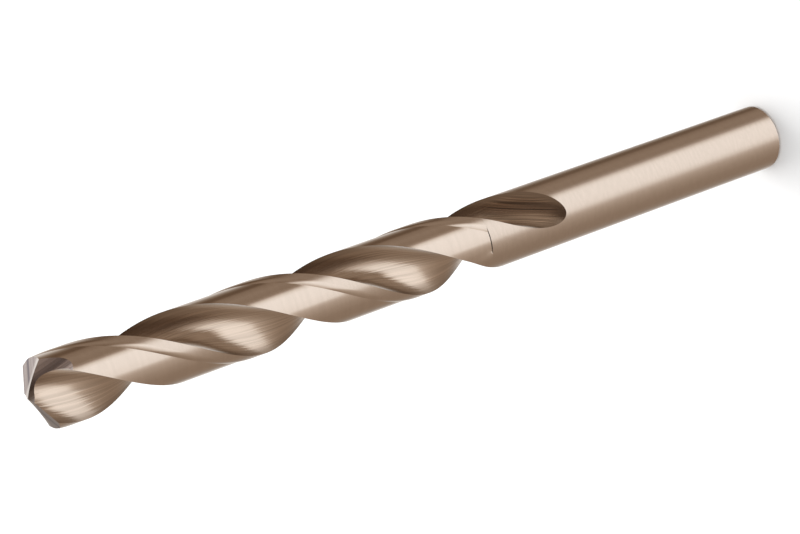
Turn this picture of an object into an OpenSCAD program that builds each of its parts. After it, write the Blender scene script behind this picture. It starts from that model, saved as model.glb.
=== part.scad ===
// Twist drill bit: a round straight shank, two right-hand helical flutes with a margin on each land,
// relief behind the margins, a flute run-out and a split point.
// The axis is Z, the shank's end face lies on z = 0 and the point is at the top.

/* [Drill] */
// Cutting diameter, which the straight shank shares
drill_d = 12; // [11:0.1:13]
// Length over all, from the shank's end to the point
overall_length = 150.6; // [140:0.1:170]
// Length of the flutes from the point, with their run-out
flute_length = 100.1; // [94:0.1:106]
// Colour of the oxide finish on the whole tool
finish = "#a58a72"; // [#a58a72:bronze, #8f8f92:bright, #3b3a3a:black]

/* [Shank] */
// Chamfer round the shank's end
shank_chamfer = 0.5; // [0.2:0.1:1]

/* [Flutes] */
// Height in which a flute goes once round
flute_lead = 64.6; // [60:0.2:72]
// Thickness of the web at the point
web = 1.9; // [1.6:0.1:2.2]
// How far the flute form stands further out, along its face, for each 100 mm away from the point
web_taper = 1.1; // [0.6:0.1:1.4]
// Radius of the flute's hollow, between the web and the heel
flute_r = 3.1; // [2.9:0.1:3.4]
// Radius of the curve on which the flute comes out of the blank
runout_r = 20; // [15:0.5:24]
// Turn of the first cutting corner about the axis
corner_turn = 33.6; // [0:0.1:90]

/* [Lands] */
// Width of a margin, along the land's outer circle
margin_w = 1.45; // [0.8:0.05:2]
// Depth of the relieved land below the margin
relief_depth = 0.24; // [0.15:0.01:0.4]
// Width of the hollow slope that leads down from a margin to the relieved land
relief_slope = 1.2; // [0.6:0.05:1.6]
// Length of the relieved lands from the point, up to their shoulder
relief_length = 83.8; // [70:0.1:84]

/* [Point] */
// Included angle of the point
point_angle = 135; // [118:1:140]
// Relief of the flank behind a lip, square to the lip
lip_relief = 15.5; // [10:0.5:18]
// Radius of the round grind that hollows the heel and thins the web
grind_r = 3.4; // [3.1:0.1:3.8]
// Slope of that grind, down from level
grind_slope = 50; // [46:1:54]
// Turn of that grind behind its own lip, seen along the axis
grind_turn = 85; // [81:1:89]
// How far the middle of the hollow is rolled towards the other lip
grind_roll = 0; // [-3:1:3]
// Distance from the point's middle to the hollow
chisel_half = 0.1; // [0.06:0.02:0.3]

/* [Hidden] */

drill_r = drill_d / 2;
land_r = drill_r - relief_depth;
web_half = web / 2;
lip_angle = point_angle / 2;                                  // between the axis and a lip
turn_rate = 360 / flute_lead;                                 // degrees of turn for each mm of height
clear = drill_d / 8;                                          // how far the flute's face is drawn past the blank

// A lip is a straight edge that passes the axis at half the web
lip_run = sqrt(pow(drill_r, 2) - pow(web_half, 2));           // from square to the axis out to the corner
corner_drop = lip_run / tan(lip_angle) - web_half * tan(lip_relief) / sin(lip_angle);
corner_z = overall_length - corner_drop;
lip_turn = corner_turn - asin(web_half / drill_r);

runout_end = overall_length - flute_length;
shoulder_z = overall_length - relief_length;
shoulder_rise = 0.1;
blank_top = overall_length + 0.6;

ring_step = 8.5 / turn_rate;                                    // height between two rings of the fluted body
flute_steps = 17;
land_steps = 8;
slope_steps = 3;
margin_steps = 3;
wheel_fn = 96;

function polar(r, a) = [r * cos(a), r * sin(a)];
function angle_of(p) = atan2(p[1], p[0]);

// Angle at which a straight lip cuts the flute's face at radius r, before it is set on the corner
function face_angle(r) =
    asin(web_half / r) + turn_rate * sqrt(max(pow(r, 2) - pow(web_half, 2), 0)) / tan(lip_angle);

// The flute's form: its face from outside the blank in to the web (u from 0 to 1), then a round hollow
// that turns up to the heel and out of the blank (u from 1 to 4)
corner_angle = face_angle(drill_r);
web_angle = face_angle(web_half) - corner_angle;
hollow_centre = polar(web_half + flute_r, web_angle);
hollow_sweep = 200;
function form(u) =
    u < 1
    ? let (r = drill_r + clear - (drill_r + clear - web_half) * u)
        polar(r, face_angle(r) - corner_angle)
    : hollow_centre + polar(flute_r, web_angle + 180 - hollow_sweep * (u - 1) / 3);

// How far the form stands out of its place at height z: by the web's taper, and in the run-out on a round curve
function taper(z) = [web_taper * (overall_length - z) / 100, 0];
end_centre = hollow_centre + taper(runout_end);
full_lift = drill_r + flute_r - norm(end_centre);
runout_height = sqrt(pow(runout_r, 2) - pow(runout_r - full_lift, 2));
function lift(z) =
    let (into = max(runout_end + runout_height - z, 0))
    runout_r - sqrt(pow(runout_r, 2) - pow(into, 2));
function shift(z) = taper(z) + polar(lift(z), angle_of(end_centre));

// Where the shifted form passes the radius r, between a value of u outside it and one inside it
function crossing(outside, inside, r, s, tries = 22) =
    tries == 0
    ? (outside + inside) / 2
    : let (u = (outside + inside) / 2)
        norm(form(u) + s) > r
        ? crossing(u, inside, r, s, tries - 1)
        : crossing(outside, u, r, s, tries - 1);

// Half of the drill's section at height z: a flute, then the land behind it up to the next leading edge
function half_section(z) =
    let (
        s = shift(z),
        relieved = z >= shoulder_z,
        heel_r = relieved ? land_r : drill_r,
        deepest = 1 + 3 * (web_angle - angle_of(hollow_centre + s)) / hollow_sweep,
        u_edge = crossing(0, deepest, drill_r, s),
        u_heel = crossing(4, deepest, heel_r, s),
        heel = angle_of(form(u_heel) + s),
        span = 180 + angle_of(form(u_edge) + s) - heel,
        share = relieved ? 1 : span / shoulder_span,
        margin = share * margin_w / drill_r * 180 / PI,
        slope = share * relief_slope / drill_r * 180 / PI,
        plain = span - margin - slope
    )
    concat(
        [for (i = [0 : flute_steps]) form(u_edge + (u_heel - u_edge) * i / flute_steps) + s],
        [for (i = [1 : land_steps]) polar(heel_r, heel + plain * i / land_steps)],
        [for (i = [1 : slope_steps])
            polar(drill_r - (drill_r - heel_r) * pow(1 - i / slope_steps, 2), heel + plain + slope * i / slope_steps)],
        [for (i = [1 : margin_steps - 1]) polar(drill_r, heel + plain + slope + margin * i / margin_steps)]
    );

// Angle between the heel and the next leading edge, just below the shoulder of the relieved lands
shoulder_span =
    let (s = shift(shoulder_z))
    180 + angle_of(form(crossing(0, 1, drill_r, s)) + s) - angle_of(form(crossing(4, 1, drill_r, s)) + s);

function turned(p, a) = [p[0] * cos(a) - p[1] * sin(a), p[0] * sin(a) + p[1] * cos(a)];
function ring(z) =
    let (half = half_section(z), turn = corner_turn + turn_rate * (z - corner_z))
    [for (side = [0, 180], p = half) concat(turned(p, turn + side), z)];

// The lowest ring is round and sunk into the shank, below where the flutes have come out
seat_depth = 1;
seat_inset = 0.2;
function seat_ring(above) =
    [for (p = above) concat(polar(drill_r - seat_inset, angle_of(p)), runout_end - seat_depth)];

function steps(from, to) =
    let (n = ceil((to - from) / ring_step))
    [for (i = [1 : n]) from + (to - from) * i / n];
fine_height = 2 * ring_step;
fine_steps = 6;
heights = concat(
    [for (i = [1 : fine_steps]) runout_end + fine_height * pow(i / fine_steps, 2)],
    steps(runout_end + fine_height, shoulder_z - shoulder_rise),
    [shoulder_z],
    steps(shoulder_z, blank_top)
);

// A closed solid through rings that all have the same number of points
module loft(rings) {
    n = len(rings[0]);
    last = len(rings) - 1;
    points = [for (r = rings) each r];
    walls = [for (k = [0 : last - 1], i = [0 : n - 1])
        let (j = (i + 1) % n)
        each [
            [k * n + i, (k + 1) * n + i, k * n + j],
            [k * n + j, (k + 1) * n + i, (k + 1) * n + j]
        ]];
    ends = [[for (i = [0 : n - 1]) i], [for (i = [n - 1 : -1 : 0]) last * n + i]];
    polyhedron(points, concat(walls, ends));
}

module shank() {
    rotate_extrude($fn = wheel_fn)
        polygon([
            [0, 0],
            [drill_r - shank_chamfer, 0],
            [drill_r, shank_chamfer],
            [drill_r, runout_end],
            [0, runout_end]
        ]);
}

module fluted_body() {
    rings = [for (z = heights) ring(z)];
    loft(concat([seat_ring(rings[0])], rings));
}

// The flat flank behind a lip, which runs along +X here
module flank() {
    size = 2 * drill_d;
    rotate([lip_relief, 90 - lip_angle, 0])
        translate([-size / 2, -size / 2, 0])
            cube([size, size, drill_d]);
}

// The round grind that hollows this land's heel and ends at the middle of the point, where it thins the
// web in front of the other lip
module heel_grind() {
    rotate([0, 90 + grind_slope, -grind_turn])
        rotate([0, 0, grind_roll])
            translate([-grind_r - chisel_half, 0, 0])
                cylinder(r = grind_r, h = 4 * drill_d, center = true, $fn = wheel_fn);
}

module twist_drill() {
    color(finish)
        difference() {
            union() {
                shank();
                fluted_body();
            }
            translate([0, 0, overall_length])
                for (side = [0, 180])
                    rotate([0, 0, lip_turn + side]) {
                        flank();
                        heel_grind();
                    }
        }
}

twist_drill();
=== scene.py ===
import math

import bmesh
import bpy
from mathutils import Matrix, Vector


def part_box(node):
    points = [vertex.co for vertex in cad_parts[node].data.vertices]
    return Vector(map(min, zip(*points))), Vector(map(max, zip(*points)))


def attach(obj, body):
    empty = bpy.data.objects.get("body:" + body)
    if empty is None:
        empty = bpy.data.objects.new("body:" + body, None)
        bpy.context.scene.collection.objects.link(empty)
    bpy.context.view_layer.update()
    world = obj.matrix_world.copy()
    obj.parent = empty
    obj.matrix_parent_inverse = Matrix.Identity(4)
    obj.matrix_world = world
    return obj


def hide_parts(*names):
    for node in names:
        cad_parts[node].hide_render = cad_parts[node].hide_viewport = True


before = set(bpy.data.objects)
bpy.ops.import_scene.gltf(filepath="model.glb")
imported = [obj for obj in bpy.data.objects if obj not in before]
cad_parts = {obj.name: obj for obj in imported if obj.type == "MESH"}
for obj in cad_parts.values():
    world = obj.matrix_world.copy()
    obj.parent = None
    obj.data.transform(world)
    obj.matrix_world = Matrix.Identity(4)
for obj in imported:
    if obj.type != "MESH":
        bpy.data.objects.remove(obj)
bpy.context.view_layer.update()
mm = 0.001
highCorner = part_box("twist_drill")[1]
drillRadius = highCorner.x / mm      # the script works in millimetres up to the finished mesh
drillLength = highCorner.z / mm
print("frame loaded: radius %.2f mm, length %.1f mm" % (drillRadius, drillLength))


def polar(radius, degrees):
    angle = math.radians(degrees)
    return Vector((radius * math.cos(angle), radius * math.sin(angle)))


def degreesOf(vector):
    return math.degrees(math.atan2(vector.y, vector.x))


# The drill's sizes and how finely it is made, in millimetres and degrees
drill = {
    "shankChamfer": 0.5,
    "fluteLead": 64.6,
    "fluteLength": 100.1,
    "web": 1.9,
    "webTaper": 1.1,           # how far the flute form moves out for each 100 mm from the point
    "hollowRadius": 3.1,
    "hollowSweep": 200,        # how far round the flute's hollow is drawn
    "runoutRadius": 20.0,
    "cornerTurn": 33.6,
    "marginWidth": 1.45,
    "reliefDepth": 0.24,
    "slopeWidth": 1.2,
    "reliefLength": 83.8,
    "shoulderRise": 0.02,      # height of the sharp step, painted near black as shade, in which the relief ends
    "stepFrom": 0.5,           # share of the land's width, from the heel, at which that step begins
    "shoulderBlend": 5.0,      # height over which the relief ends softly at the heel itself
    "pointAngle": 135.0,
    "lipRelief": 15.5,
    "grindRadius": 3.4,
    "grindSlope": 50.0,
    "grindTurn": 85.0,
    "grindRoll": 0.0,
    "chiselHalf": 0.1,
    "fluteSegments": 40,       # segments of one section that lie in one flute
    "landSegments": 16,
    "slopeSegments": 6,
    "marginSegments": 6,
    "halvings": 30,            # tries at finding where the flute's form passes a radius
    "ringTurn": 2.5,           # turn between two rings
    "fineTurn": 16.0,          # turn at the start of the run-out that has closer rings
    "fineRings": 18,
    "topLength": 10.0,         # the top part that the point is ground on
    "topSpare": 0.6,           # how far it stands over the point before the grinding
    "wheelSegments": 120,
    "wheelCuts": 12,
    "hair": 0.001,             # a height too small to matter
    "mergeDistance": 0.0005,
    "sharpAngle": 13.0,
}

turnRate = 360 / drill["fluteLead"]
webHalf = drill["web"] / 2
lipAngle = math.radians(drill["pointAngle"] / 2)
lipReliefAngle = math.radians(drill["lipRelief"])
lipRun = math.sqrt(drillRadius ** 2 - webHalf ** 2)
cornerDrop = lipRun / math.tan(lipAngle) - webHalf * math.tan(lipReliefAngle) / math.sin(lipAngle)
cornerHeight = drillLength - cornerDrop
lipTurn = drill["cornerTurn"] - math.degrees(math.asin(webHalf / drillRadius))
runoutEnd = drillLength - drill["fluteLength"]
shoulderHeight = drillLength - drill["reliefLength"]
seamHeight = drillLength - drill["topLength"]
clearance = drillRadius / 4          # how far the flute's face is drawn past the blank
halfCount = sum(drill[part + "Segments"] for part in ("flute", "land", "slope", "margin"))


def faceAngle(radius):
    # the angle at which a straight lip cuts the flute's face
    along = math.sqrt(max(radius ** 2 - webHalf ** 2, 0))
    return math.degrees(math.asin(min(webHalf / radius, 1))) + turnRate * along / math.tan(lipAngle)


webAngle = faceAngle(webHalf) - faceAngle(drillRadius)
hollowCentre = polar(webHalf + drill["hollowRadius"], webAngle)


def fluteForm(u):
    # u from 0 to 1 runs down the face to the web, u from 1 to 4 runs round the hollow and out at the heel
    if u < 1:
        radius = drillRadius + clearance - (drillRadius + clearance - webHalf) * u
        return polar(radius, faceAngle(radius) - faceAngle(drillRadius))
    return hollowCentre + polar(drill["hollowRadius"], webAngle + 180 - drill["hollowSweep"] * (u - 1) / 3)


def taperAt(height):
    return Vector((drill["webTaper"] * (drillLength - height) / 100, 0))


endCentre = hollowCentre + taperAt(runoutEnd)
fullLift = drillRadius + drill["hollowRadius"] - endCentre.length
runoutHeight = math.sqrt(drill["runoutRadius"] ** 2 - (drill["runoutRadius"] - fullLift) ** 2)


def shiftAt(height):
    # how far the form stands out of its place, by the web's taper and on the run-out's round curve
    into = max(runoutEnd + runoutHeight - height, 0)
    lift = drill["runoutRadius"] - math.sqrt(drill["runoutRadius"] ** 2 - into ** 2)
    return taperAt(height) + polar(lift, degreesOf(endCentre))


def crossing(outside, inside, radius, shift):
    # where the shifted form passes a radius
    for halving in range(drill["halvings"]):
        middle = (outside + inside) / 2
        if (fluteForm(middle) + shift).length > radius:
            outside = middle
        else:
            inside = middle
    return (outside + inside) / 2


def landSpan(height, heelRadius):
    # the form's shift, where it meets the edge and the heel, the heel's turn and the land's width in degrees
    shift = shiftAt(height)
    deepest = 1 + 3 * (webAngle - degreesOf(hollowCentre + shift)) / drill["hollowSweep"]
    edge = crossing(0, deepest, drillRadius, shift)
    heel = crossing(4, deepest, heelRadius, shift)
    heelTurn = degreesOf(fluteForm(heel) + shift)
    return shift, edge, heel, heelTurn, 180 + degreesOf(fluteForm(edge) + shift) - heelTurn


shoulderSpan = landSpan(shoulderHeight, drillRadius)[4]


def reliefAt(height, share):
    # how deep the land is relieved, at a share of its width from the heel
    reach = drill["shoulderBlend"] * max(1 - share / drill["stepFrom"], 0)
    rise = height - shoulderHeight
    if rise < 0:
        return 0
    if rise >= reach:
        return drill["reliefDepth"]
    return drill["reliefDepth"] * (rise / reach) ** 2 * (3 - 2 * rise / reach)


def halfSection(height):
    # one flute and the land behind it, up to the next leading edge; Z is a point's place on the flute's form
    shift, edge, heel, heelTurn, span = landSpan(height, drillRadius - reliefAt(height, 0))
    share = 1 if height >= shoulderHeight else span / shoulderSpan
    margin = share * math.degrees(drill["marginWidth"] / drillRadius)
    slope = share * math.degrees(drill["slopeWidth"] / drillRadius)
    plain = span - margin - slope
    points = []
    for i in range(drill["fluteSegments"] + 1):
        place = edge + (heel - edge) * i / drill["fluteSegments"]
        points.append((fluteForm(place) + shift).to_3d() + Vector((0, 0, place)))
    for i in range(1, drill["landSegments"] + 1):
        part = i / drill["landSegments"]
        points.append(polar(drillRadius - reliefAt(height, part), heelTurn + plain * part))
    for i in range(1, drill["slopeSegments"] + 1):
        part = i / drill["slopeSegments"]
        radius = drillRadius - reliefAt(height, 1) * (1 - part) ** 2
        points.append(polar(radius, heelTurn + plain + slope * part))
    for i in range(1, drill["marginSegments"]):
        points.append(polar(drillRadius, heelTurn + plain + slope + margin * i / drill["marginSegments"]))
    return [point.to_3d() for point in points]


def sectionAt(height):
    # the whole ring at a height; W is a point's place on the flute's form
    half = halfSection(height)
    turn = math.radians(drill["cornerTurn"] + turnRate * (height - cornerHeight))
    ring = []
    for side in (0, math.pi):
        cosine, sine = math.cos(turn + side), math.sin(turn + side)
        ring += [Vector((p.x * cosine - p.y * sine, p.x * sine + p.y * cosine, height, p.z)) for p in half]
    return ring


def roundRing(pattern, radius, height):
    # a plain circle whose points stand under those of another ring
    ring = []
    for point in pattern:
        flat = point.xy.normalized() * radius
        ring.append(Vector((flat.x, flat.y, height, 0)))
    return ring


def heightsBetween(low, high):
    steps = math.ceil((high - low) * turnRate / drill["ringTurn"])
    return [low + (high - low) * i / steps for i in range(1, steps + 1)]


def bodyRings():
    fineHeight = drill["fineTurn"] / turnRate
    fineRings = drill["fineRings"]
    heights = [runoutEnd + fineHeight * (i / fineRings) ** 2 for i in range(1, fineRings + 1)]
    heights += heightsBetween(runoutEnd + fineHeight, shoulderHeight - drill["shoulderRise"])
    heights += [shoulderHeight] + heightsBetween(shoulderHeight, seamHeight)
    fluted = [sectionAt(height) for height in heights]
    chamfer = drill["shankChamfer"]
    shank = [
        roundRing(fluted[0], drillRadius - chamfer, 0),
        roundRing(fluted[0], drillRadius, chamfer),
        roundRing(fluted[0], drillRadius, runoutEnd / 2),
        roundRing(fluted[0], drillRadius, runoutEnd),
    ]
    return shank + fluted


def topRings():
    heights = [seamHeight] + heightsBetween(seamHeight, drillLength + drill["topSpare"])
    return [sectionAt(height) for height in heights]


# The drill's finishes, in the order of its material slots
zones = ["roundGround", "landRelief", "fluteGround", "pointFlank", "heelHollow", "shoulderStep"]


def zoneOf(pointIndex, height):
    # the finish of a swept face, by the point that it begins at and the height of its upper edge
    place = pointIndex % halfCount
    stepPlace = drill["fluteSegments"] + drill["landSegments"] * drill["stepFrom"]
    if height < runoutEnd:
        zone = "roundGround"
    elif place < drill["fluteSegments"]:
        zone = "fluteGround"
    elif shoulderHeight - drill["shoulderRise"] / 2 < height < shoulderHeight:
        zone = "shoulderStep" if place > stepPlace else "landRelief"
    elif height > shoulderHeight and place < halfCount - drill["marginSegments"]:
        zone = "landRelief"
    else:
        zone = "roundGround"
    return zones.index(zone)


def sweep(rings, closedBelow, closedAbove):
    # one ring of edges is drawn up from section to section, and each new face gets its finish
    count = len(rings[0])
    mesh = bmesh.new()
    pointLayer = mesh.verts.layers.int.new("point")
    formLayer = mesh.verts.layers.float.new("form")

    def layOn(ring, verts):
        for vert in verts:
            point = ring[vert[pointLayer]]
            vert.co = point.xyz
            vert[formLayer] = point.w

    bmesh.ops.create_circle(mesh, cap_ends=closedBelow, segments=count, radius=drillRadius)
    for index, vert in enumerate(mesh.verts):
        vert[pointLayer] = index
    layOn(rings[0], mesh.verts)
    ringEdges = list(mesh.edges)
    for ring in rings[1:]:
        grown = bmesh.ops.extrude_edge_only(mesh, edges=ringEdges)["geom"]
        newVerts = {item for item in grown if isinstance(item, bmesh.types.BMVert)}
        newFaces = [item for item in grown if isinstance(item, bmesh.types.BMFace)]
        ringEdges = [
            item for item in grown
            if isinstance(item, bmesh.types.BMEdge)
            and item.verts[0] in newVerts and item.verts[1] in newVerts
        ]
        layOn(ring, newVerts)
        justBelow = ring[0].z - drill["hair"]
        for face in newFaces:
            ends = sorted(vert[pointLayer] for vert in face.verts if vert in newVerts)
            closesRing = ends[0] == 0 and ends[-1] == count - 1
            face.material_index = zoneOf(ends[-1] if closesRing else ends[0], justBelow)
    if closedAbove:
        bmesh.ops.edgeloop_fill(mesh, edges=ringEdges)
    bmesh.ops.recalc_face_normals(mesh, faces=mesh.faces)
    lines = mesh.loops.layers.uv.new("lines")
    for face in mesh.faces:
        for loop in face.loops:
            loop[lines].uv = (loop.vert[formLayer], 0)
    return mesh


def meshObject(name, mesh, materials):
    data = bpy.data.meshes.new(name)
    mesh.to_mesh(data)
    mesh.free()
    for material in materials:
        data.materials.append(material)
    made = bpy.data.objects.new(name, data)
    bpy.context.scene.collection.objects.link(made)
    return made


def pointCutters(side):
    # the flat flank and the round hollow that are ground on one half of the point
    base = Matrix.Translation((0, 0, drillLength)) @ Matrix.Rotation(math.radians(lipTurn + side), 4, "Z")
    size = 4 * drillRadius
    flank = bmesh.new()
    bmesh.ops.create_cube(flank, size=size)
    lean = Matrix.Rotation(math.pi / 2 - lipAngle, 4, "Y") @ Matrix.Rotation(lipReliefAngle, 4, "X")
    flankPlace = base @ lean @ Matrix.Translation((0, 0, size / 2))
    radius = drill["grindRadius"]
    hollow = bmesh.new()
    bmesh.ops.create_cone(
        hollow, cap_ends=True, segments=drill["wheelSegments"], radius1=radius, radius2=radius, depth=size,
    )
    lengthwise = [edge for edge in hollow.edges if abs(edge.verts[0].co.z - edge.verts[1].co.z) > radius]
    bmesh.ops.subdivide_edges(hollow, edges=lengthwise, cuts=drill["wheelCuts"], use_grid_fill=True)
    way = (
        Matrix.Rotation(math.radians(-drill["grindTurn"]), 4, "Z")
        @ Matrix.Rotation(math.radians(90 + drill["grindSlope"]), 4, "Y")
        @ Matrix.Rotation(math.radians(drill["grindRoll"]), 4, "Z")
        @ Matrix.Translation((-radius - drill["chiselHalf"], 0, 0))
    )
    for zone, mesh, place in (("pointFlank", flank, flankPlace), ("heelHollow", hollow, base @ way)):
        bmesh.ops.transform(mesh, matrix=place, verts=mesh.verts)
        for face in mesh.faces:
            face.material_index = zones.index(zone)
    return flank, hollow


def cut(target, cutter):
    tool = target.modifiers.new("grind", "BOOLEAN")
    tool.operation = "DIFFERENCE"
    tool.solver = "EXACT"
    tool.object = cutter
    tool.material_mode = "INDEX"
    bpy.context.view_layer.update()
    shaped = bpy.data.meshes.new_from_object(target.evaluated_get(bpy.context.evaluated_depsgraph_get()))
    target.modifiers.clear()
    target.data = shaped
    bpy.data.objects.remove(cutter)


def buildDrill(materials):
    body = meshObject("drillBody", sweep(bodyRings(), True, False), materials)
    print("body swept: %d faces" % len(body.data.polygons))
    top = meshObject("point", sweep(topRings(), True, True), materials)
    for side in (0, 180):
        for cutterMesh in pointCutters(side):
            cut(top, meshObject("cutter", cutterMesh, materials))
    print("point ground: %d faces" % len(top.data.polygons))

    # The top part loses its underside and is joined to the body along the seam
    mesh = bmesh.new()
    mesh.from_mesh(top.data)
    underside = [
        face for face in mesh.faces if all(vert.co.z < seamHeight + drill["hair"] for vert in face.verts)
    ]
    bmesh.ops.delete(mesh, geom=underside, context="FACES")
    mesh.from_mesh(body.data)
    bpy.data.objects.remove(top)
    bmesh.ops.remove_doubles(mesh, verts=mesh.verts, dist=drill["mergeDistance"])
    bmesh.ops.recalc_face_normals(mesh, faces=mesh.faces)
    bmesh.ops.transform(mesh, matrix=Matrix.Scale(mm, 4), verts=mesh.verts)
    mesh.to_mesh(body.data)
    mesh.free()
    body.data.shade_smooth()
    body.data.set_sharp_from_angle(angle=math.radians(drill["sharpAngle"]))
    return body


# Shader maths on sockets: each operator adds the Math node it stands for
class Value:
    def __init__(self, tree, socket):
        self.tree = tree
        self.socket = socket

    def maths(self, operation, *others):
        return self.tree.maths(operation, self, *others)

    def __add__(self, other):
        return self.maths("ADD", other)

    __radd__ = __add__

    def __mul__(self, other):
        return self.maths("MULTIPLY", other)

    __rmul__ = __mul__

    def __sub__(self, other):
        return self.maths("SUBTRACT", other)

    def __rsub__(self, other):
        return self.tree.maths("SUBTRACT", other, self)

    def __truediv__(self, other):
        return self.maths("DIVIDE", other)

    def __rtruediv__(self, other):
        return self.tree.maths("DIVIDE", other, self)


class Tree:
    def __init__(self, owner):
        owner.use_nodes = True
        self.nodes = owner.node_tree.nodes
        self.links = owner.node_tree.links
        self.nodes.clear()

    def add(self, kind, settings=None, inputs=None):
        made = self.nodes.new(kind)
        for name, setting in (settings or {}).items():
            if name == "stops":
                ramp = made.color_ramp
                while len(ramp.elements) < len(setting):
                    ramp.elements.new(0.5)
                for element, (position, colour) in zip(ramp.elements, setting):
                    element.position = position
                    element.color = colour
            else:
                setattr(made, name, setting)
        for name, item in (inputs or {}).items():
            slot = made.inputs[name]
            if isinstance(item, Value):
                self.links.new(item.socket, slot)
            else:
                slot.default_value = item
        return made

    def out(self, made, name=0):
        return Value(self, made.outputs[name])

    def maths(self, operation, *items):
        return self.out(self.add("ShaderNodeMath", {"operation": operation}, dict(enumerate(items))))

    def parts(self, vector):
        made = self.add("ShaderNodeSeparateXYZ", None, {0: vector})
        return [self.out(made, axis) for axis in "XYZ"]

    def vector(self, **parts):
        return self.out(self.add("ShaderNodeCombineXYZ", None, parts))

    def turned(self, place, degrees):
        # the place in coordinates that are turned this far about Z
        made = self.add(
            "ShaderNodeVectorRotate", {"rotation_type": "Z_AXIS"},
            {"Vector": place, "Angle": -math.radians(degrees)},
        )
        return self.out(made)

    def mixColour(self, factor, first, second):
        # a Mix node's inputs 6 and 7 and its output 2 are the ones for colours
        made = self.add("ShaderNodeMix", {"data_type": "RGBA"}, {0: factor, 6: first, 7: second})
        return self.out(made, 2)

    def smoothStep(self, value, low, high):
        made = self.add(
            "ShaderNodeMapRange", {"interpolation_type": "SMOOTHSTEP"},
            {"Value": value, "From Min": low, "From Max": high},
        )
        return self.out(made)


# Finishes: colour is the tint of the metal's reflection, shade how much its streaks differ in tint, depth
# how strong their bump is and stretch how close they lie along X, Y and Z, for each metre; the lines lie
# round the drill, along the lip, or along the flute, where X is the place on its form
finishes = {
    "roundGround": {
        "colour": (0.70, 0.60, 0.52), "roughness": 0.23, "lines": "round", "stretch": (500, 500, 2400),
        "depth": 0.045, "shade": 0.02,
    },
    "landRelief": {
        "colour": (0.70, 0.60, 0.52), "roughness": 0.14, "lines": "round", "stretch": (150, 150, 1200),
        "depth": 0.03, "shade": 0.02,
    },
    "fluteGround": {
        "colour": (0.66, 0.55, 0.46), "roughness": 0.21, "lines": "form", "stretch": (17, 1, 45),
        "depth": 0.42, "shade": 0.12,
    },
    "pointFlank": {
        "colour": (0.55, 0.485, 0.475), "roughness": 0.15, "lines": "lip", "stretch": (60, 1500, 60),
        "depth": 0.08, "shade": 0.15,
    },
    # the step's near-black colour is painted shade in the small step
    "shoulderStep": {
        "colour": (0.03, 0.027, 0.024), "roughness": 0.30, "lines": "round", "stretch": (500, 500, 2400),
        "depth": 0.05, "shade": 0.05,
    },
    "heelHollow": {
        "colour": (0.72, 0.69, 0.74), "roughness": 0.24, "lines": "lip", "stretch": (2200, 60, 60),
        "depth": 0.40, "shade": 0.25,
    },
}
# What all streaks share: the noise's detail, the values between which it shades, the bump's height in metres
streak = {"detail": 3.0, "shadeFrom": 0.3, "shadeTo": 0.7, "bumpHeight": 0.0001}


def tint(colour, share=1):
    return tuple(min(part * share, 1) for part in colour) + (1,)


def lineNoise(tree, place, stretch):
    stretched = tree.out(tree.add("ShaderNodeMapping", None, {"Vector": place, "Scale": stretch}))
    noise = tree.add(
        "ShaderNodeTexNoise", None, {"Vector": stretched, "Scale": 1.0, "Detail": streak["detail"]}
    )
    return tree.out(noise)


def streaked(tree, noise, colour, shade):
    lightness = tree.smoothStep(noise, streak["shadeFrom"], streak["shadeTo"])
    return tree.mixColour(lightness, tint(colour, 1 - shade), tint(colour, 1 + shade))


# Marks on the point, in millimetres and degrees; the bright strip is painted highlight and the dark notch
# painted shade
pointMarks = {
    "edgeDirection": -54.6,    # from the lip to the edge between flank and hollow
    "edgeHighlightFade": (0.69, 1.495),      # distances from that edge between which its painted highlight, a bright strip, fades
    "edgeHighlightTint": (0.95, 0.90, 0.87),
    "streakPlace": -0.9,       # a darker streak along the flank, beside the lip
    "streakWidth": 0.55,
    "streakTint": (0.23, 0.20, 0.23),
    "notchShadeReach": (1.3, 3.4),  # the notch at the middle of the point is painted dark: painted shade in the recess
    "notchShadeTint": (0.28, 0.25, 0.24),
}


def pointPlace(tree, place):
    # coordinates of this half of the point, in millimetres, with the lip along +X
    along, across = (part / mm for part in tree.parts(tree.turned(place, lipTurn))[:2])
    lipFall = 1 / math.tan(lipAngle)
    flankRise = math.tan(lipReliefAngle) / math.sin(lipAngle)
    side = (along * lipFall - across * flankRise).maths("SIGN")
    return along * side, across * side


def flankStreakAndHighlight(tree, place, colour):
    along, across = pointPlace(tree, place)
    angle = math.radians(pointMarks["edgeDirection"])
    fromEdge = across * math.cos(angle) - along * math.sin(angle)
    fromStreak = (across - pointMarks["streakPlace"]).maths("ABSOLUTE")
    besideStreak = tree.smoothStep(fromStreak, 0.0, pointMarks["streakWidth"])
    colour = tree.mixColour(besideStreak, tint(pointMarks["streakTint"]), colour)
    # painted highlight: a bright strip along the edge between flank and hollow
    pastEdgeHighlight = tree.smoothStep(fromEdge, *pointMarks["edgeHighlightFade"])
    return tree.mixColour(pastEdgeHighlight, tint(pointMarks["edgeHighlightTint"]), colour)


def hollowNotchShade(tree, place, colour):
    along, across = pointPlace(tree, place)
    radius = (along * along + across * across).maths("SQRT")
    # painted shade: the hollow darkens towards the notch at the middle of the point
    outside = tree.smoothStep(radius, *pointMarks["notchShadeReach"])
    return tree.mixColour(outside, tint(pointMarks["notchShadeTint"]), colour)


# Marks in the flutes, in millimetres
fluteMarks = {
    "runoutFrom": 59.0,        # heights between which the run-out's strong streaks fade
    "runoutTo": 65.0,
    "runoutShade": 0.5,
    "wheelHeight": 54.5,       # the run-out's lines lie in the wheel's plane as it stood at this height
    "formWidth": 4.0,          # width of the flute for each unit of place on its form
    "rimShadeFrom": 4.3,            # distances from the axis between which the walls are painted darker to the rim: painted shade of the heel
    "rimShadeTo": 5.8,
    "rimShadeShare": 0.72,
}


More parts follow.
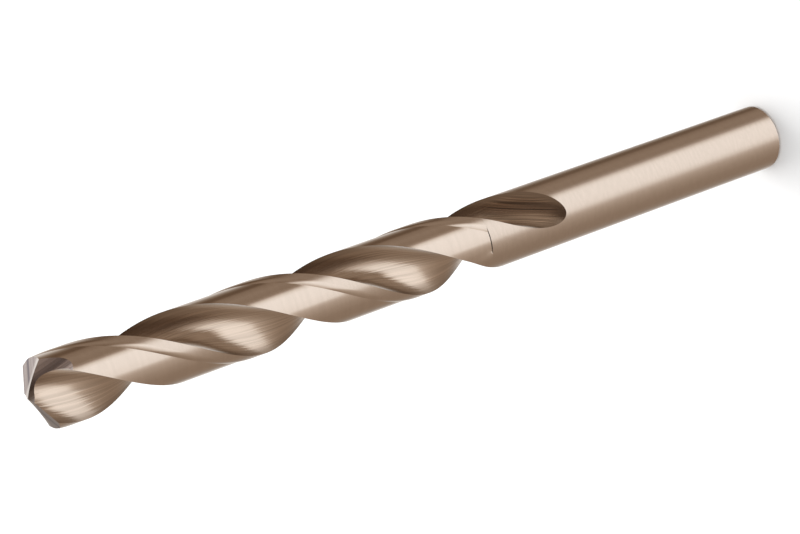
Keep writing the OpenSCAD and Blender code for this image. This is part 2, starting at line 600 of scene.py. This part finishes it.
def wheelLines(tree, place, height):
    # where the flute runs out, its lines lie in the plane of the wheel as it stood there
    turn = drill["cornerTurn"] + turnRate * (fluteMarks["wheelHeight"] - cornerHeight) + degreesOf(endCentre)
    outwards, sideways = tree.parts(tree.turned(place, turn))[:2]
    sideways = sideways * outwards.maths("SIGN")
    helix = math.atan(2 * math.pi * drillRadius / drill["fluteLead"])
    across = (height * math.sin(helix) - sideways * math.cos(helix)) / (fluteMarks["formWidth"] * mm)
    return tree.vector(X=across, Z=height * math.cos(helix) + sideways * math.sin(helix))


def fluteLook(tree, place, finish):
    # noise and colour: the wheel's lines run along the flute and out with it, and the walls get painted
    # shade near the rim
    x, y, height = tree.parts(place)
    formPlace = tree.parts(tree.out(tree.add("ShaderNodeUVMap", {"uv_map": "lines"})))[0]
    pastRunout = tree.smoothStep(height, fluteMarks["runoutFrom"] * mm, fluteMarks["runoutTo"] * mm)
    noise = (
        lineNoise(tree, tree.vector(X=formPlace, Z=height), finish["stretch"]) * pastRunout
        + lineNoise(tree, wheelLines(tree, place, height), finish["stretch"]) * (1 - pastRunout)
    )
    strong = streaked(tree, noise, finish["colour"], fluteMarks["runoutShade"])
    colour = tree.mixColour(pastRunout, strong, streaked(tree, noise, finish["colour"], finish["shade"]))
    # painted shade: the walls darken towards the rim, standing in for the heel's own shade
    radius = (x * x + y * y).maths("SQRT")
    inRimShade = tree.smoothStep(radius, fluteMarks["rimShadeFrom"] * mm, fluteMarks["rimShadeTo"] * mm)
    return noise, tree.mixColour(inRimShade, colour, tint(finish["colour"], fluteMarks["rimShadeShare"]))


def finishMaterial(name):
    finish = finishes[name]
    material = bpy.data.materials.new(name)
    tree = Tree(material)
    place = tree.out(tree.add("ShaderNodeTexCoord"), "Object")
    if finish["lines"] == "form":
        noise, colour = fluteLook(tree, place, finish)
    else:
        linesPlace = tree.turned(place, lipTurn) if finish["lines"] == "lip" else place
        noise = lineNoise(tree, linesPlace, finish["stretch"])
        colour = streaked(tree, noise, finish["colour"], finish["shade"])
    if name == "pointFlank":
        colour = flankStreakAndHighlight(tree, place, colour)
    if name == "heelHollow":
        colour = hollowNotchShade(tree, place, colour)
    bump = tree.add(
        "ShaderNodeBump", None,
        {"Height": noise, "Strength": finish["depth"], "Distance": streak["bumpHeight"]},
    )
    shader = tree.add(
        "ShaderNodeBsdfPrincipled", None,
        {
            "Base Color": colour,
            "Metallic": 1.0,
            "Roughness": finish["roughness"],
            "Normal": tree.out(bump),
        },
    )
    tree.add("ShaderNodeOutputMaterial", None, {"Surface": tree.out(shader)})
    return material


body = buildDrill([finishMaterial(name) for name in zones])
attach(body, "root")
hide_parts("twist_drill")
body.visible_glossy = False    # the flutes mirror only the studio
print("drill finished")


def facing(settings):
    # turns a camera or a lamp from its place to its aim
    way = Vector(settings["aim"]) - Vector(settings["place"])
    return way.to_track_quat("-Z", "Y").to_matrix().to_4x4()


# Camera: places in metres, roll in degrees, lens and sensor in millimetres
view = {
    "place": (0.0, -0.30679, 0.25675),
    "aim": (-0.000232, 0.0, 0.081846),
    "roll": -109.740,
    "lens": 95.012,
    "sensor": 36.0,
    "nearest": 0.01,
    "farthest": 100.0,
}


def addCamera():
    data = bpy.data.cameras.new("camera")
    data.lens = view["lens"]
    data.sensor_width = view["sensor"]
    data.clip_start = view["nearest"]
    data.clip_end = view["farthest"]
    camera = bpy.data.objects.new("camera", data)
    bpy.context.scene.collection.objects.link(camera)
    turn = facing(view) @ Matrix.Rotation(math.radians(view["roll"]), 4, "Z")
    camera.matrix_world = Matrix.Translation(view["place"]) @ turn
    bpy.context.scene.camera = camera


addCamera()
print("camera set")


# Studio: a pale floor under a pale sky, whose reflection in the metal has a bright side and two darker sides
studio = {
    "floorSize": 20.0,
    "floorColour": (0.86, 0.86, 0.86),
    "lamp": {"place": (0.25, 0.55, 0.9), "aim": (0.0, 0.0, 0.05), "size": 0.7, "power": 6.0},
    # strength of what the metal mirrors, by degrees round the drill from the camera's side
    "below": [
        (-180, 0.62), (-164, 0.66), (-150, 0.48), (-140, 0.31), (-110, 0.275), (-85, 0.29), (-60, 0.36),
        (-40, 0.47), (-32, 0.58), (-23, 0.90), (0, 0.98), (28, 1.0), (38, 0.84), (47, 0.31), (56, 0.26),
        (76, 0.285), (97, 0.235), (108, 0.13), (120, 0.14), (134, 0.27), (146, 0.50), (158, 0.62),
        (180, 0.62),
    ],
    "above": [
        (-180, 0.06), (-166, 0.16), (-150, 0.80), (-100, 0.24), (-60, 0.19), (-30, 0.08), (30, 0.08),
        (60, 0.17), (100, 0.28), (145, 0.86), (166, 0.86), (180, 0.06),
    ],
    "blend": (-17.0, 10.0),    # degrees of climb between which one gives way to the other
    "underfoot": 0.38,         # strength straight below the drill
    "underfootBlend": (-90.0, -66.0),
    "slant": 0.8,             # how far the right side moves round with each degree below the slant's line
    "slantLine": -24.0,
    "slantReach": (-15.0, 25.0),    # the fewest and most degrees below that line that count
    "slantSide": (10.0, 40.0),      # degrees round the drill over which the right side begins
    "brightest": 1.21,
    "warmth": (1.0, 1.2, 1.4),      # powers for red, green and blue that warm what is darker
    "coolBehind": 0.55,        # how much of that warmth is missing behind the drill
    "behind": (115.0, 150.0),       # degrees round the drill over which that begins
}


def addWorld():
    world = bpy.data.worlds.new("studio")
    tree = Tree(world)
    sideways, forwards, upwards = tree.parts(tree.out(tree.add("ShaderNodeTexCoord"), "Generated"))
    turn = sideways.maths("ARCTAN2", forwards * -1) * (180 / math.pi)
    climb = upwards.maths("ARCSINE") * (180 / math.pi)
    least, most = studio["slantReach"]
    lower = (studio["slantLine"] - climb).maths("MAXIMUM", least).maths("MINIMUM", most)
    turn = turn - lower * tree.smoothStep(turn, *studio["slantSide"]) * studio["slant"]
    behind = tree.smoothStep(turn.maths("ABSOLUTE"), *studio["behind"]) * studio["coolBehind"]
    turn = turn / 360 + 0.5

    def around(stops):
        ramp = [((degrees + 180) / 360, (strength,) * 3 + (1,)) for degrees, strength in stops]
        return tree.out(tree.add("ShaderNodeValToRGB", {"stops": ramp}, {"Fac": turn}))

    def blend(share, first, second):
        return first * (1 - share) + second * share

    high = tree.smoothStep(climb, *studio["blend"])
    strength = blend(high, around(studio["below"]), around(studio["above"]))
    underfoot = 1 - tree.smoothStep(climb, *studio["underfootBlend"])
    strength = blend(underfoot, strength, studio["underfoot"])
    bands = [
        strength.maths("POWER", power - behind * (power - 1)) * studio["brightest"]
        for power in studio["warmth"]
    ]
    pattern = tree.vector(**dict(zip("XYZ", bands)))
    glossy = tree.out(tree.add("ShaderNodeLightPath"), "Is Glossy Ray")
    colour = tree.mixColour(glossy, (1, 1, 1, 1), pattern)
    sky = tree.add("ShaderNodeBackground", None, {"Color": colour, "Strength": 1.0})
    tree.add("ShaderNodeOutputWorld", None, {"Surface": tree.out(sky)})
    bpy.context.scene.world = world


def addFloor():
    mesh = bmesh.new()
    bmesh.ops.create_grid(mesh, x_segments=1, y_segments=1, size=studio["floorSize"] / 2)
    material = bpy.data.materials.new("floorPaint")
    tree = Tree(material)
    paint = tree.add("ShaderNodeBsdfDiffuse", None, {"Color": tint(studio["floorColour"])})
    tree.add("ShaderNodeOutputMaterial", None, {"Surface": tree.out(paint)})
    floor = meshObject("floor", mesh, [material])
    floor.visible_glossy = False


def addLamp():
    settings = studio["lamp"]
    data = bpy.data.lights.new("softbox", "AREA")
    data.size = settings["size"]
    data.energy = settings["power"]
    lamp = bpy.data.objects.new("softbox", data)
    bpy.context.scene.collection.objects.link(lamp)
    lamp.matrix_world = Matrix.Translation(settings["place"]) @ facing(settings)
    lamp.visible_glossy = False


addWorld()
addFloor()
addLamp()
bpy.context.scene.view_settings.view_transform = "Standard"
print("studio set")
